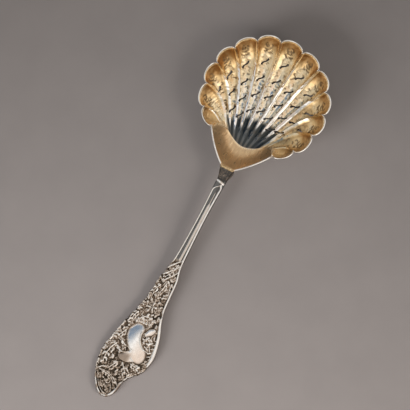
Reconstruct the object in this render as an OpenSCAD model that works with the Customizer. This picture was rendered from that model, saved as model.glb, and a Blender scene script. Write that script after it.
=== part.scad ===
// Sugar sifter spoon: a pierced scallop bowl, soldered to a struck handle with a rocaille end.
// Lengths are millimetres and angles are degrees. X runs from the handle tip to the front of
// the bowl, Z is up, and the origin is on the table under the middle of the spoon.

/* [Bowl] */
// Number of lobes round the rim
lobes = 13; // [11:2:15]
// Angle that all the lobes take up, seen from above
fan_angle = 291; // [270:1:296]
// Radius from the centre of the fan to the notches between lobes
notch_r = 30.3; // [28:0.1:36]
// How far a lobe reaches past its notches
lobe_reach = 3.6; // [1.5:0.1:4]
// Depth from the rim to the floor
bowl_depth = 13.2; // [10:0.2:16]
// Thickness of the sheet
sheet = 0.9; // [0.7:0.1:1.3]
// Depth of a flute between its two ridges
flute_depth = 1.5; // [0.8:0.1:2.4]
// Distance from the centre of the fan back to where the flutes start
flute_start = 26; // [23:0.2:28]
// Distance from the centre of the fan back to the neck
neck_back = 42.1; // [39:0.1:46]
// How far the belly is worn flat where it stands on the table
belly_flat = 0.4; // [0.3:0.05:0.5]

/* [Piercing] */
// Length of a slit
slit_len = 5.4; // [3:0.1:6]
// Width of a slit
slit_w = 0.8; // [0.5:0.1:1.2]
// Distance from one slit to the next along a flute
slit_step = 8.8; // [7:0.1:12]
// Distance from the rim to the first slit
slit_margin = 11.5; // [9:0.5:14]
// Angle between a slit and its flute
slit_turn = 43; // [25:1:60]
// Most slits in one flute
slit_most = 4; // [2:1:5]

/* [Stem and neck] */
// Length of the stem between the ornament and the neck
stem_len = 47; // [35:1:60]
// Width of the stem where the ornament ends
stem_w = 5.6; // [4:0.2:7]
// Width of the stem at its narrowest
waist_w = 4.4; // [3.5:0.1:5.5]
// Thickness of the stem
stem_t = 3; // [2.2:0.1:4]
// Height of the underside of the stem at the neck
stem_rise = 7; // [5:0.5:9]
// Length of the neck that climbs to the rim
neck_len = 6.3; // [4:0.1:9]
// Width of the neck where it meets the bowl
neck_w = 7.2; // [5.5:0.1:9]
// Thickness of the tongue under the heel, at the neck
tongue_t = 5; // [3:0.2:6]
// Thickness of the solder film
film = 0.15; // [0.05:0.05:0.3]

/* [Handle end] */
// Length of the ornamented end
end_len = 80; // [65:1:95]
// Greatest width of the ornamented end
end_w = 26; // [20:0.2:32]
// Thickness of its ground
end_t = 1.8; // [1.4:0.1:3]
// Height of the raised border above the ground
border_h = 0.5; // [0.2:0.1:0.9]
// Height of the carved leaves and scrolls above the ground
relief_h = 1; // [0.5:0.1:1.4]
// Length of the blank cartouche
cartouche_len = 23; // [18:1:32]
// Width of the blank cartouche
cartouche_w = 9; // [7:0.5:18]
// Height of the cartouche above the ground
cartouche_h = 1.1; // [0.5:0.1:1.6]
// Distance from the tip to the middle of the cartouche
cartouche_at = 31.8; // [24:0.2:34]
// Angle that the cartouche leans across the end
cartouche_turn = 30; // [0:1:45]
// Length of the flat land under the tip
land_len = 14; // [8:1:20]

/* [Hidden] */

// The sheet is a grid: columns run round the fan, rows run from the heel edge out to the rim.
half = lobes / 2;
seg = 6;
cols = lobes * seg;
heel_rows = 7;
fan_rows = 13;
rows = heel_rows + fan_rows;
tongue_rows = 4;

// Half width of the neck, counted in lobes along the grid
neck_t = 1;
// Length of the plain edge between the last lobe and the heel
end_tab = 2;
// Width and reach of the last lobe at each side against the others
end_lobe = 0.85;
end_reach = 0.6;
// How much further out the rim lies at the last lobes, and how many lobes that flare grows over
end_flare = 1.4;
flare_lobes = 1.8;
// How far the heel's edge bows outwards between the neck and the last lobe
heel_bow = 0.8;
// How far the line where the flutes start bows towards the neck
heel_arc = 13;
// Dip of the rim at the neck
neck_dip = 0.6;
// Distance over which a flute runs straight out to its lobe
rim_lead = 10.5;
// Exponents of the heel's slope, of the start line's climb and of the wall's two terms
heel_curve = 1.9;
side_climb = 5.5;
low_climb = 1.6;
wall_climb = 3;
// Share of the wall's height that the flatter term gives
low_share = 0.35;
// Share of a flute that stays flat, share over which its depth grows from nothing, and its depth there
flute_from = 0.05;
flute_in = 0.17;
flute_in_depth = 0.5;
// Exponent of its fading at the rim
flute_out = 6;
// Steps for slopes taken by difference
step_t = 0.05;
step_r = 0.1;

function smooth(a) = let (q = max(0, min(1, a))) q * q * (3 - 2 * q);
function mix(a, b, q) = a * (1 - q) + b * q;
function unit(v) = v / norm(v);
function polar(r, a) = [r * cos(a), r * sin(a)];
function mirrored(p, t) = [p.x, t < 0 ? -p.y : p.y];

// Columns crowd towards the notches, so that the lobes come out round.
function col_t(i) = floor(i / seg) + (1 - cos(180 * (i % seg) / seg)) / 2 - half;
function arch(t) = let (f = t + half - floor(t + half)) 4 * f * (1 - f);
function lobe_size(t) = abs(t) > half - 1 ? end_lobe : 1;
pitch = fan_angle / (lobes - 2 + 2 * end_lobe);
function turn(t) =
    sign(t) * pitch * (min(abs(t), half - 1) + end_lobe * max(0, abs(t) - half + 1));
function lobe_tip(t) =
    lobe_reach * (abs(t) > half - 1 ? end_reach : 1) * sqrt(max(0, arch(t)));

// Plan of the three lines that the sheet hangs on: heel edge, start of the flutes, rim
lobe_end = polar(notch_r + end_flare, turn(half));
neck_corner = [-neck_back, neck_w / 2];
edge_end = lobe_end + end_tab * unit(neck_corner - lobe_end);
start_end = (lobe_end + edge_end) / 2;

function edge_xy(t) =
    abs(t) <= neck_t
    ? [-neck_back, t / neck_t * neck_w / 2]
    : let (q = (abs(t) - neck_t) / (half - neck_t), run = unit(edge_end - neck_corner))
      mirrored(mix(neck_corner, edge_end, q) + heel_bow * 4 * q * (1 - q) * [-run.y, run.x], t);
function start_xy(t) =
    let (q = abs(t) / half)
    [-flute_start + heel_arc * q^2 * (1 - q^4) + (start_end.x + flute_start) * q^6,
     sign(t) * start_end.y * q^1.1];
function rim_xy(t, reach) =
    polar(notch_r + end_flare * smooth(abs(t) - half + flare_lobes) + reach, turn(t));

function edge_z(t) = bowl_depth - neck_dip * (1 - smooth(2 * (abs(t) - neck_t) / half));
function start_z(t) = bowl_depth * pow(abs(t) / half, side_climb);

function heel_pt(t, q) =
    let (p = mix(edge_xy(t), start_xy(t), q))
    [p.x, p.y, mix(edge_z(t), start_z(t), 1 - pow(1 - q, heel_curve))];
function fan_pt(t, s, reach) =
    let (a = start_xy(t),
         c = rim_xy(t, reach),
         b = c - min(rim_lead, norm(c - a) / 2) * polar(1, turn(t)),
         p = a * (1 - s)^2 + b * 2 * s * (1 - s) + c * s^2,
         climb = low_share * pow(s, low_climb) + (1 - low_share) * pow(s, wall_climb))
    [p.x, p.y, mix(start_z(t), bowl_depth, climb)];
function skin_pt(t, r, reach) =
    r <= heel_rows ? heel_pt(t, r / heel_rows) : fan_pt(t, (r - heel_rows) / fan_rows, reach);

// Outward normal of the plain bowl, without its flutes and lobes
function skin_normal(t, r) =
    let (tc = max(-half + 4 * step_t, min(half - 4 * step_t, t)),
         across = skin_pt(tc + step_t, r, lobe_reach) - skin_pt(tc - step_t, r, lobe_reach),
         along = skin_pt(tc, min(rows, r + step_r), lobe_reach)
               - skin_pt(tc, max(0, r - step_r), lobe_reach))
    unit(cross(across, along));

function flute(t, r) =
    let (s = max(0, r - heel_rows) / fan_rows)
    lobe_size(t) * arch(t) * smooth((s - flute_from) / flute_in) * mix(flute_in_depth, flute_depth, s)
        * (1 - pow(s, flute_out));
function inner_pt(t, r) = skin_pt(t, r, lobe_tip(t)) + flute(t, r) * skin_normal(t, r);
function outer_pt(t, r) = inner_pt(t, r) + sheet * skin_normal(t, r);

inner_skin = [for (r = [0:rows]) for (i = [0:cols]) inner_pt(col_t(i), r)];
round_skin = [for (r = [0:rows]) for (i = [0:cols]) outer_pt(col_t(i), r)];

// The bowl is lifted until it stands on its worn belly, and the spoon is centred over the origin.
lift = -min([for (p = round_skin) p.z]) - belly_flat;
outer_skin = [for (p = round_skin) [p.x, p.y, max(p.z, -lift)]];
front_x = max([for (p = outer_skin) p.x]);
handle_len = end_len + stem_len + neck_len;
tip_x = -neck_back - handle_len;
mid_x = (front_x + tip_x) / 2;

module placed() translate([-mid_x, 0, 0]) children();
module lifted() translate([-mid_x, 0, lift]) children();

function quad(a, b, c, d) = [[a, b, c], [a, c, d]];
function flat_list(l) = [for (part = l) for (item = part) item];

// Closed slab between two grids of points, n columns wide and m rows long
module slab(low, high, n, m) {
    size = (n + 1) * (m + 1);
    function at(i, r, side) = side * size + r * (n + 1) + i;
    low_faces = [for (r = [0:m - 1]) for (i = [0:n - 1])
        quad(at(i, r, 0), at(i, r + 1, 0), at(i + 1, r + 1, 0), at(i + 1, r, 0))];
    high_faces = [for (r = [0:m - 1]) for (i = [0:n - 1])
        [[at(i, r, 1), at(i + 1, r + 1, 1), at(i, r + 1, 1)],
         [at(i, r, 1), at(i + 1, r, 1), at(i + 1, r + 1, 1)]]];
    row_walls = [for (i = [0:n - 1]) concat(
        quad(at(i, 0, 0), at(i + 1, 0, 0), at(i + 1, 0, 1), at(i, 0, 1)),
        quad(at(i, m, 0), at(i, m, 1), at(i + 1, m, 1), at(i + 1, m, 0)))];
    col_walls = [for (r = [0:m - 1]) concat(
        quad(at(0, r, 0), at(0, r, 1), at(0, r + 1, 1), at(0, r + 1, 0)),
        quad(at(n, r, 0), at(n, r + 1, 0), at(n, r + 1, 1), at(n, r, 1)))];
    polyhedron(concat(low, high),
        flat_list(concat(low_faces, high_faces, row_walls, col_walls)), convexity = 10);
}

// Slits: tilde-shaped saw cuts in the floor of each flute
slit_stations = [[-0.5, -0.5], [-0.22, -0.45], [0.22, 0.45], [0.5, 0.5]];
slit_clear = 2;
slit_foot = 12;

// Distance in plan from the start of a flute to its rim, and the row at a distance from the rim
function flute_run(t) = norm(rim_xy(t, lobe_reach) - start_xy(t));
function row_from_rim(t, d) =
    let (run = flute_run(t), lead = min(rim_lead, run / 2))
    rows - fan_rows * d / (lead + sqrt(lead^2 + (run - 2 * lead) * d));
function slit_count(t) =
    let (run = flute_run(t) - slit_margin - slit_foot)
    run < 0 ? 0 : min(slit_most, 1 + floor(run / slit_step));

module slit() {
    for (k = [0:len(slit_stations) - 2])
        hull()
            for (j = [k, k + 1])
                translate([slit_stations[j].x * (slit_len - slit_w), slit_stations[j].y * slit_w, 0])
                    cylinder(d = slit_w, h = 2 * slit_clear, center = true, $fn = 6);
}

module slits() {
    for (lobe = [0:lobes - 1]) {
        t = lobe + 0.5 - half;
        count = slit_count(t);
        if (count > 0)
            for (k = [0:count - 1]) {
                r = row_from_rim(t, slit_margin + k * slit_step);
                p = inner_pt(t, r);
                n = skin_normal(t, r);
                u = unit(inner_pt(t, r + step_r) - p);
                w = cross(n, u);
                multmatrix([[u.x, w.x, n.x, p.x], [u.y, w.y, n.y, p.y], [u.z, w.z, n.z, p.z]])
                    rotate(slit_turn)
                        slit();
            }
    }
}

module bowl_shell() {
    color("goldenrod")
        lifted()
            difference() {
                slab(outer_skin, inner_skin, cols, rows);
                slits();
            }
}

// Outline of the ornamented end, as shares of its length and of its width, from the tip to the
// stem. The two sides differ, as rocaille does: a tip lobe, a waist on the right, a full belly.
left_side = [[0, 0.12], [0.03, 0.27], [0.07, 0.37], [0.12, 0.45], [0.2, 0.52], [0.3, 0.53],
    [0.4, 0.47], [0.5, 0.39], [0.6, 0.305], [0.7, 0.235], [0.8, 0.21], [0.92, 0.15]];
right_side = [[0, -0.07], [0.03, 0.06], [0.07, 0.115], [0.13, 0.14], [0.18, 0.215], [0.23, 0.355],
    [0.28, 0.43], [0.35, 0.475], [0.42, 0.45], [0.5, 0.385], [0.58, 0.285], [0.65, 0.227],
    [0.75, 0.203], [0.86, 0.18], [0.94, 0.122]];

// Place of the waist along the stem, and how far the stem has widened again at the neck
waist_at = 0.55;
neck_share = 0.35;

function full_side(side) =
    concat([for (p = side) [p.x * end_len, p.y * end_w]],
        [[end_len, stem_w / 2], [end_len + stem_len * waist_at, waist_w / 2],
         [end_len + stem_len, mix(waist_w, neck_w, neck_share) / 2]]);
left_edge = full_side(left_side);
right_edge = full_side(right_side);

function span_at(p, u, k = 0) = k >= len(p) - 2 || u < p[k + 1].x ? k : span_at(p, u, k + 1);
function tangent(p, k) =
    let (a = p[max(0, k - 1)], b = p[min(len(p) - 1, k + 1)]) (b.y - a.y) / (b.x - a.x);
// Smooth curve through the points of a side, at the distance u from the tip
function side_at(p, u) =
    let (k = span_at(p, u), w = p[k + 1].x - p[k].x, q = (u - p[k].x) / w)
    mix(p[k].y, p[k + 1].y, q * q * (3 - 2 * q))
        + w * q * (1 - q) * (tangent(p, k) * (1 - q) - tangent(p, k + 1) * q);

// Places across the top of the handle, with the stem's edge fillets, channel and centre rib
across = [-1, -0.9, -0.74, -0.56, -0.34, -0.17, 0, 0.17, 0.34, 0.56, 0.74, 0.9, 1];
stem_form = [-0.5, -0.05, 0, -0.7, -0.75, -0.5, -0.25, -0.5, -0.75, -0.7, 0, -0.05, -0.5];
border_form = [-0.4, 0.8, 1, 0, 0, 0, 0, 0, 0, 0, 1, 0.8, -0.4];
// Places across the underside, which is flat in the middle and lifts towards its edges
under_flat = 0.6;
under = [1, under_flat, 0, -under_flat, -1];
edge_lift = 0.5;
// Offset of the cartouche to the left
cartouche_side = -0.6;
// Stretch over which the ornament gives way to the stem
blend_len = 9.6;
// Exponent of the underside's climb to the neck
rise_curve = 1.3;

function under_z(u) =
    stem_rise * pow(max(0, u - land_len) / (end_len + stem_len - land_len), rise_curve);
function dome(u, y) =
    let (p = [u - cartouche_at, y - cartouche_side],
         a = 2 * p * polar(1, cartouche_turn) / cartouche_len,
         b = 2 * p * polar(1, cartouche_turn + 90) / cartouche_w)
    cartouche_h * sqrt(max(0, 1 - a * a - b * b));
function handle_top(u, j) =
    let (left = side_at(left_edge, u),
         right = side_at(right_edge, u),
         y = mix(-right, left, (across[j] + 1) / 2),
         stem = smooth((u - end_len + blend_len) / blend_len),
         ground = end_t + border_h * border_form[j] + dome(u, y),
         bar = stem_t + stem_form[j])
    [tip_x + u, y, under_z(u) + mix(ground, bar, stem)];
function handle_under(u, w) =
    let (y = mix(-side_at(right_edge, u), side_at(left_edge, u), (w + 1) / 2))
    [tip_x + u, y, under_z(u) + edge_lift * max(0, abs(w) - under_flat) / (1 - under_flat)];
function handle_ring(u) =
    concat([for (j = [0:len(across) - 1]) handle_top(u, j)], [for (w = under) handle_under(u, w)]);

// The neck climbs from the stem to the rim, then the tongue runs down under the heel.
neck_cols = [for (i = [0:cols]) if (abs(col_t(i)) <= neck_t + step_t * step_t) col_t(i)];
raise = [0, 0, lift];
tongue_tip = 0.5;
neck_rings = 5;

function seat_pt(t, r) = outer_pt(t, r) + film * skin_normal(t, r) + raise;
function step_pt(t) = inner_pt(t, 0) - [film, 0, 0] + raise;
function tongue_depth(r) = mix(tongue_tip, tongue_t, (1 - r / tongue_rows)^2);
function tongue_under(r) = [for (w = under) seat_pt(w * neck_t, r) - [0, 0, tongue_depth(r)]];
function tongue_ring(r) = concat([for (t = neck_cols) seat_pt(t, r)], tongue_under(r));
step_ring = concat([for (t = neck_cols) step_pt(t)],
    [for (p = tongue_under(0)) p - [film + neck_dip, 0, 0]]);
stem_ring = handle_ring(end_len + stem_len);
function neck_ring(q) = [for (k = [0:len(stem_ring) - 1])
    let (a = stem_ring[k], b = step_ring[k])
    [mix(a.x, b.x, q), mix(a.y, b.y, smooth(q)), mix(a.z, b.z, smooth(q))]];

end_steps = 44;
stem_steps = 16;
handle_rings = concat(
    [for (k = [0:end_steps - 1]) handle_ring(end_len * k / end_steps)],
    [for (k = [0:stem_steps]) handle_ring(end_len + stem_len * k / stem_steps)],
    [for (k = [1:neck_rings - 1]) neck_ring(k / neck_rings)],
    [step_ring],
    [for (r = [0:tongue_rows]) tongue_ring(r)]);

// Closed loft through rings that all have the same number of points
module loft(rings) {
    n = len(rings[0]);
    m = len(rings) - 1;
    walls = [for (k = [0:m - 1]) for (j = [0:n - 1])
        let (j2 = (j + 1) % n)
        quad(k * n + j, k * n + j2, (k + 1) * n + j2, (k + 1) * n + j)];
    ends = [[for (j = [0:n - 1]) n - 1 - j], [for (j = [0:n - 1]) m * n + j]];
    polyhedron(flat_list(rings), concat(flat_list(walls), ends), convexity = 10);
}

// Carved leaves and scrolls, and last the two arms of the cartouche: start, bend and tip as shares
// of the end's length and width, with the left side positive, then the greatest radius
carving = [
    [[0.96, -0.03], [0.89, -0.02], [0.83, 0.17], 1.5],
    [[0.84, -0.01], [0.78, 0.01], [0.72, 0.065], 1.2],
    [[0.8, 0.1], [0.765, 0.16], [0.72, 0.2], 1.5],
    [[0.83, -0.09], [0.78, -0.11], [0.73, -0.155], 1.4],
    [[0.55, 0.14], [0.605, 0.015], [0.55, -0.11], 1.3],
    [[0.58, 0.24], [0.545, 0.31], [0.5, 0.27], 1.5],
    [[0.605, -0.18], [0.595, -0.2], [0.575, -0.235], 1.2],
    [[0.46, 0.26], [0.42, 0.31], [0.365, 0.415], 1.8],
    [[0.47, -0.05], [0.385, -0.08], [0.37, -0.31], 1.2],
    [[0.455, -0.15], [0.445, -0.22], [0.42, -0.31], 1.4],
    [[0.33, 0.29], [0.29, 0.18], [0.325, 0.045], 1.2],
    [[0.37, 0.255], [0.345, 0.135], [0.345, 0], 1],
    [[0.34, 0.33], [0.26, 0.48], [0.155, 0.36], 2],
    [[0.245, 0.045], [0.21, -0.06], [0.175, -0.13], 1.6],
    [[0.235, 0.135], [0.2, 0.21], [0.155, 0.275], 1.6],
    [[0.26, -0.12], [0.255, -0.23], [0.25, -0.31], 1.5],
    [[0.14, 0.32], [0.15, 0.1], [0.08, -0.045], 1.4],
    [[0.33, -0.1], [0.29, 0.02], [0.265, 0.13], 2.6],
    [[0.43, 0], [0.48, -0.12], [0.515, -0.22], 2]];
// Share of its radius that a carved form has at its start, middle and tip, and that its crown has
carving_form = [0.6, 1, 0.4];
carving_crown = 0.5;
// How far the carved forms reach down into the ground
carving_root = 0.8;
// Flower and tip shell: centre, reach along and across, as shares of the end's length and width
flower = [[0.645, 0.03], [0.057, 0.15]];
tip_shell = [[0.115, 0.125], [0.065, 0.2]];
// Angles from one petal and from one rib to the next, and of the middle rib
petals = 8;
petal_angle = 360 / petals;
ribs = 5;
rib_angle = 28;
rib_middle = 180;
petal_r = 1.3;
petal_foot = 0.35;

// A low boss that stands on the ground of the end
module boss(p, r)
    translate([tip_x + p.x * end_len, p.y * end_w, under_z(p.x * end_len) + end_t - carving_root])
        cylinder(r1 = r, r2 = r * carving_crown, h = relief_h + carving_root, $fn = 6);

module carved(row) {
    function at(q) = row[0] * (1 - q)^2 + row[1] * 2 * q * (1 - q) + row[2] * q^2;
    last = len(carving_form) - 1;
    for (k = [1:last])
        hull() {
            boss(at((k - 1) / last), row[3] * carving_form[k - 1]);
            boss(at(k / last), row[3] * carving_form[k]);
        }
}

// One petal of a form that spreads round its centre
module petal(form, a) {
    tip = [form[1].x * cos(a), form[1].y * sin(a)];
    hull() {
        boss(form[0] + tip * petal_foot, petal_r * petal_foot);
        boss(form[0] + tip, petal_r);
    }
}

module handle() {
    color("silver")
        placed() {
            loft(handle_rings);
            for (row = carving)
                carved(row);
            for (k = [0:petals - 1])
                petal(flower, petal_angle * k);
            for (k = [0:ribs - 1])
                petal(tip_shell, rib_middle + rib_angle * (k - (ribs - 1) / 2));
        }
}

// Film of solder between the bowl's edge and heel and the handle's step and tongue
module solder_seam() {
    bowl_side = concat([for (t = neck_cols) inner_pt(t, 0) + raise],
        [for (r = [0:tongue_rows]) for (t = neck_cols) outer_pt(t, r) + raise]);
    handle_side = concat([for (t = neck_cols) step_pt(t)],
        [for (r = [0:tongue_rows]) for (t = neck_cols) seat_pt(t, r)]);
    color("gainsboro")
        placed()
            slab(handle_side, bowl_side, len(neck_cols) - 1, tongue_rows + 1);
}

bowl_shell();
handle();
solder_seam();
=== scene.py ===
"""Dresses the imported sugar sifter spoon: a fluted, pierced, gilt bowl soldered to a struck handle.

Shapes are worked out in millimetres, in the plan of the spoon: for the bowl from the centre of its
fan of lobes, and for the handle from its tip. They are put into the frame, in metres, at the end.
"""
import math

import bpy
import numpy as np
from mathutils import Matrix, Vector
from mathutils.kdtree import KDTree


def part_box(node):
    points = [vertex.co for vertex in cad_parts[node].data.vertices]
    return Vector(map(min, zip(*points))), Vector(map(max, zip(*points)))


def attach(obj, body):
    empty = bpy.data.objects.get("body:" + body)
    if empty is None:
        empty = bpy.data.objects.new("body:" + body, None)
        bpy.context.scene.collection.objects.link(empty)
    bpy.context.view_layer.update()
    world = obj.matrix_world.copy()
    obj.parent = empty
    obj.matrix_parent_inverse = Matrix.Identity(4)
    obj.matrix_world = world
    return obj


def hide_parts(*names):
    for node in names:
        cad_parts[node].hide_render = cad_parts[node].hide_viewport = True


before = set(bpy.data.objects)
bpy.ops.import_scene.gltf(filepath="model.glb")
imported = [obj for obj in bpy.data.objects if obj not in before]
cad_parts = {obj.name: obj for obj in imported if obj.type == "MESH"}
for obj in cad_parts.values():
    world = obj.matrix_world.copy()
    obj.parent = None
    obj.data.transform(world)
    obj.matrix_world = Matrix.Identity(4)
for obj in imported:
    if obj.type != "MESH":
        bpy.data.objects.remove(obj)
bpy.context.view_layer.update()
_, bowl_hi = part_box("bowl_shell")
handle_lo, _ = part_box("handle")

MM = 0.001
rng = np.random.default_rng(7)

# Bowl: a fan of lobes that hangs on three lines, the heel's edge, the start of the flutes and the rim
LOBES = 13
HALF = LOBES / 2
FAN_ANGLE = 291
NOTCH_R = 30.3
LOBE_REACH = 3.6
BOWL_DEPTH = 13.2
SHEET = 0.9
FLUTE_DEPTH = 1.5
FLUTE_START = 26
NECK_BACK = 42.1
BELLY_FLAT = 0.4
NECK_T = 1
END_TAB = 2
END_LOBE = 0.85
END_REACH = 0.6
END_FLARE = 1.4
FLARE_LOBES = 1.8
HEEL_BOW = 0.8
HEEL_ARC = 13
NECK_DIP = 0.6
RIM_LEAD = 10.5
HEEL_CURVE = 1.9
SIDE_CLIMB = 5.5
LOW_CLIMB = 1.6
WALL_CLIMB = 3
LOW_SHARE = 0.35
FLUTE_FROM = 0.05
FLUTE_IN = 0.17
FLUTE_IN_DEPTH = 0.5
FLUTE_OUT = 6
# Bead along each ridge
BEAD_R = 0.6
BEAD_H = 0.3
# Half width of a ridge as a share of its flute, at the heel and at the rim, and the share of the fan over
# which it narrows
RIDGE_W = (0.2, 0.05)
RIDGE_RUN = 0.75

# Slits: sawn between two drilled holes
SLIT_LEN = 5.4
SLIT_HOLE = 1.2
SLIT_WAIST = 0.8
SLIT_BEND = 0.25
SLIT_STEP = 8.8
SLIT_MARGIN = 11.5
SLIT_FOOT = 12
SLIT_TURN = 43
SLIT_MOST = 4
SLIT_REACH = 2.0
SLIT_POINTS = 13
CAP_ANGLES = (60, 30, 0, -30, -60)

# Handle
STEM_LEN = 47
STEM_W = 5.6
WAIST_W = 4.4
WAIST_AT = 0.55
STEM_T = 3
STEM_RISE = 7
NECK_W = 7.2
NECK_SHARE = 0.35
TONGUE_T = 5
TONGUE_TIP = 0.5
TONGUE_SHARE = 4 / 7
FILM = 0.15
END_LEN = 80
END_W = 26
LAND_LEN = 14
RISE_CURVE = 1.3
UNDER_FLAT = 0.6
EDGE_LIFT = 0.5


def smooth(a):
    q = np.clip(a, 0, 1)
    return q * q * (3 - 2 * q)


def rise(x, start, length):
    """Smooth step from 0 at start to 1 a length later."""
    return smooth((x - start) / length)


def fall(x, end, length):
    """Smooth step from 1, a length before end, to 0 at end."""
    return smooth((end - x) / length)


def dome(q, power=2):
    """Height of a round top at a share q of its radius, flatter with more power."""
    return np.sqrt(np.maximum(0, 1 - q**power))


def rounded(x, radius):
    """Height, from 0 to 1, of a quarter round that starts at x = 0."""
    return dome(1 - np.minimum(x / radius, 1))


def span(x, amount, start, end, coming, going):
    """An amount that comes past start and goes before end."""
    return amount * fall(x, end, going) * rise(x, start, coming)


def bell(x, middle, width):
    return np.exp(-((x - middle) / width) ** 2)


def mix(a, b, q):
    return a * (1 - q) + b * q


def stacked(*parts):
    return np.stack(np.broadcast_arrays(*parts), axis=-1)


def unit(v):
    return v / np.linalg.norm(v, axis=-1, keepdims=True)


def heading(a):
    return np.array([math.cos(a), math.sin(a)])


def polar(radius, degrees):
    a = np.radians(degrees)
    return stacked(radius * np.cos(a), radius * np.sin(a))


# The bowl's sheet: t counts lobes across the fan, v runs over the heel (0 to 1) and the fan (1 to 2)
PITCH = FAN_ANGLE / (LOBES - 2 + 2 * END_LOBE)


def turn(t):
    a = np.abs(t)
    return np.sign(t) * PITCH * (np.minimum(a, HALF - 1) + END_LOBE * np.maximum(0, a - HALF + 1))


def lobe_share(t):
    """How far t lies across its own lobe, from 0 to 1."""
    return np.clip(t + HALF - np.clip(np.floor(t + HALF), 0, LOBES - 1), 0, 1)


def lobe_tip(t):
    f = lobe_share(t)
    reach = np.where(np.abs(t) > HALF - 1, END_REACH, 1) * LOBE_REACH
    return reach * np.sqrt(np.maximum(0, 4 * f * (1 - f)))


LOBE_END = polar(NOTCH_R + END_FLARE, turn(np.array(HALF)))
NECK_CORNER = np.array([-NECK_BACK, NECK_W / 2])
EDGE_RUN = unit(NECK_CORNER - LOBE_END)
EDGE_END = LOBE_END + END_TAB * EDGE_RUN
START_END = (LOBE_END + EDGE_END) / 2


def edge_xy(t):
    a = np.abs(t)
    q = np.clip((a - NECK_T) / (HALF - NECK_T), 0, 1)
    run = unit(EDGE_END - NECK_CORNER)
    bow = HEEL_BOW * 4 * q * (1 - q)
    x = mix(NECK_CORNER[0], EDGE_END[0], q) - bow * run[1]
    y = mix(NECK_CORNER[1], EDGE_END[1], q) + bow * run[0]
    at_neck = a <= NECK_T
    return stacked(np.where(at_neck, -NECK_BACK, x),
                   np.where(at_neck, t / NECK_T * NECK_W / 2, np.sign(t) * y))


def start_xy(t):
    q = np.abs(t) / HALF
    return stacked(-FLUTE_START + HEEL_ARC * q**2 * (1 - q**4) + (START_END[0] + FLUTE_START) * q**6,
                   np.sign(t) * START_END[1] * q**1.1)


def rim_xy(t, reach):
    return polar(NOTCH_R + END_FLARE * smooth(np.abs(t) - HALF + FLARE_LOBES) + reach, turn(t))


def edge_z(t):
    return BOWL_DEPTH - NECK_DIP * (1 - smooth(2 * (np.abs(t) - NECK_T) / HALF))


def start_z(t):
    return BOWL_DEPTH * (np.abs(t) / HALF) ** SIDE_CLIMB


def skin_pt(t, v, reach):
    """Point of the plain bowl, without its flutes."""
    q = np.clip(v, 0, 1)[..., None]
    heel = mix(edge_xy(t), start_xy(t), q)
    heel_z = mix(edge_z(t), start_z(t), 1 - (1 - q[..., 0]) ** HEEL_CURVE)
    s = np.clip(v - 1, 0, 1)
    a = start_xy(t)
    c = rim_xy(t, reach)
    lead = np.minimum(RIM_LEAD, np.linalg.norm(c - a, axis=-1) / 2)
    b = c - polar(lead, turn(t))
    k = s[..., None]
    fan = a * (1 - k) ** 2 + b * 2 * k * (1 - k) + c * k**2
    climb = LOW_SHARE * s**LOW_CLIMB + (1 - LOW_SHARE) * s**WALL_CLIMB
    fan_z = mix(start_z(t), BOWL_DEPTH, climb)
    in_fan = v > 1
    plan = np.where(in_fan[..., None], fan, heel)
    return np.concatenate([plan, np.where(in_fan, fan_z, heel_z)[..., None]], axis=-1)


def skin_normal(t, v):
    """Outward normal of the plain bowl."""
    dt, dv = 0.05, 0.01
    tc = np.clip(t, -HALF + 4 * dt, HALF - 4 * dt)
    across = skin_pt(tc + dt, v, LOBE_REACH) - skin_pt(tc - dt, v, LOBE_REACH)
    along = (skin_pt(tc, np.minimum(2, v + dv), LOBE_REACH)
             - skin_pt(tc, np.maximum(0, v - dv), LOBE_REACH))
    return unit(np.cross(across, along))


def flute(t, v):
    """Depth of the flutes, with ridges that are broad at the heel and sharp at the rim."""
    s = np.clip(v - 1, 0, 1)
    f = lobe_share(t)
    ridge = mix(*RIDGE_W, rise(s, 0, RIDGE_RUN))
    m = np.sqrt(np.minimum(f, 1 - f) ** 2 + ridge**2) - ridge
    arch = 4 * m * (1 - m)
    grown = rise(s, FLUTE_FROM, FLUTE_IN)
    size = np.where(np.abs(t) > HALF - 1, END_LOBE, 1)
    return size * arch * grown * mix(FLUTE_IN_DEPTH, FLUTE_DEPTH, s) * (1 - s**FLUTE_OUT)


def inner_pt(t, v):
    return skin_pt(t, v, lobe_tip(t)) + flute(t, v)[..., None] * skin_normal(t, v)


def outer_pt(t, v):
    return inner_pt(t, v) + SHEET * skin_normal(t, v)


def flute_run(t):
    """Length of a flute in plan."""
    return np.linalg.norm(rim_xy(t, LOBE_REACH) - start_xy(t), axis=-1)


def share_from_rim(t, d):
    """v at the distance d from the rim, in plan, along a flute."""
    run = flute_run(t)
    lead = np.minimum(RIM_LEAD, run / 2)
    return 2 - d / (lead + np.sqrt(lead**2 + (run - 2 * lead) * d))


# Relief: strokes on a field of heights
def curve_through(points, count):
    """Smooth curve through points (Catmull-Rom), as count points."""
    p = np.asarray(points, float)
    if len(p) < 3:
        return p[0] + (p[-1] - p[0]) * np.linspace(0, 1, count)[:, None]
    p = np.vstack([2 * p[0] - p[1], p, 2 * p[-1] - p[-2]])
    x = np.linspace(0, len(p) - 3 - 1e-6, count)
    k = x.astype(int)
    q = (x - k)[:, None]
    a, b, c, d = p[k], p[k + 1], p[k + 2], p[k + 3]
    return b + 0.5 * q * (c - a + q * (2 * a - 5 * b + 4 * c - d + q * (3 * (b - c) + d - a)))


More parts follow.
